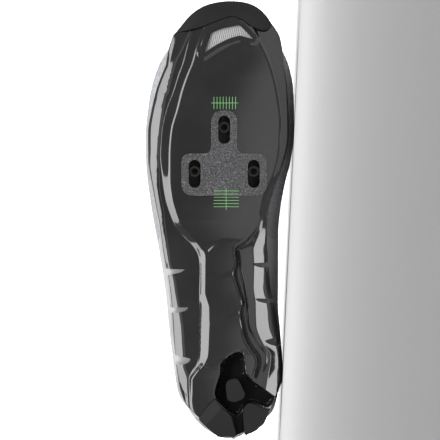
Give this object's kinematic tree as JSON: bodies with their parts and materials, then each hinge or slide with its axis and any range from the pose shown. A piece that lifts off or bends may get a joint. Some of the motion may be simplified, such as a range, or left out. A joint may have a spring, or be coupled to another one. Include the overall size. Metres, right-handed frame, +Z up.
{
  "type": "cycling shoe",
  "caption": "Road cycling shoe for the right foot, lying on its inner side, with a stiff moulded sole, cleat slots, toe vent, rubber toe and heel pads.",
  "frame": {"origin": "middle of the bounding box at floor level", "axes": "+X towards the toe, -Y the way the sole faces, +Z up from the floor towards the outer side of the foot"},
  "size_m": [0.2802, 0.104, 0.094],
  "materials": {
    "upper_cloth": "coated synthetic leather, glittering silver-grey with plain white mid panels",
    "tongue_cloth": "soft padded synthetic leather",
    "insole_foam": "cloth-faced foam",
    "gloss_sole": "clear-coated black fibre laminate",
    "toe_rubber": "matt",
    "vent_mesh": "ribbed white mesh",
    "grip_sheet": "gritty grey",
    "nut_steel": "dark steel",
    "heel_rubber": "matt"
  },
  "bodies": {
    "root": {"upper": "upper_cloth", "tongue": "tongue_cloth", "insole": "insole_foam", "outsole": "gloss_sole", "toe_bumper": "toe_rubber", "toe_vent_mesh": "vent_mesh", "cleat_grip_pad": "grip_sheet", "cleat_nut_front": "nut_steel", "cleat_nut_lateral": "nut_steel", "cleat_nut_medial": "nut_steel", "heel_pad_front": "heel_rubber", "heel_pad_lateral": "heel_rubber", "heel_pad_medial": "heel_rubber"}
  },
  "joints": []
}
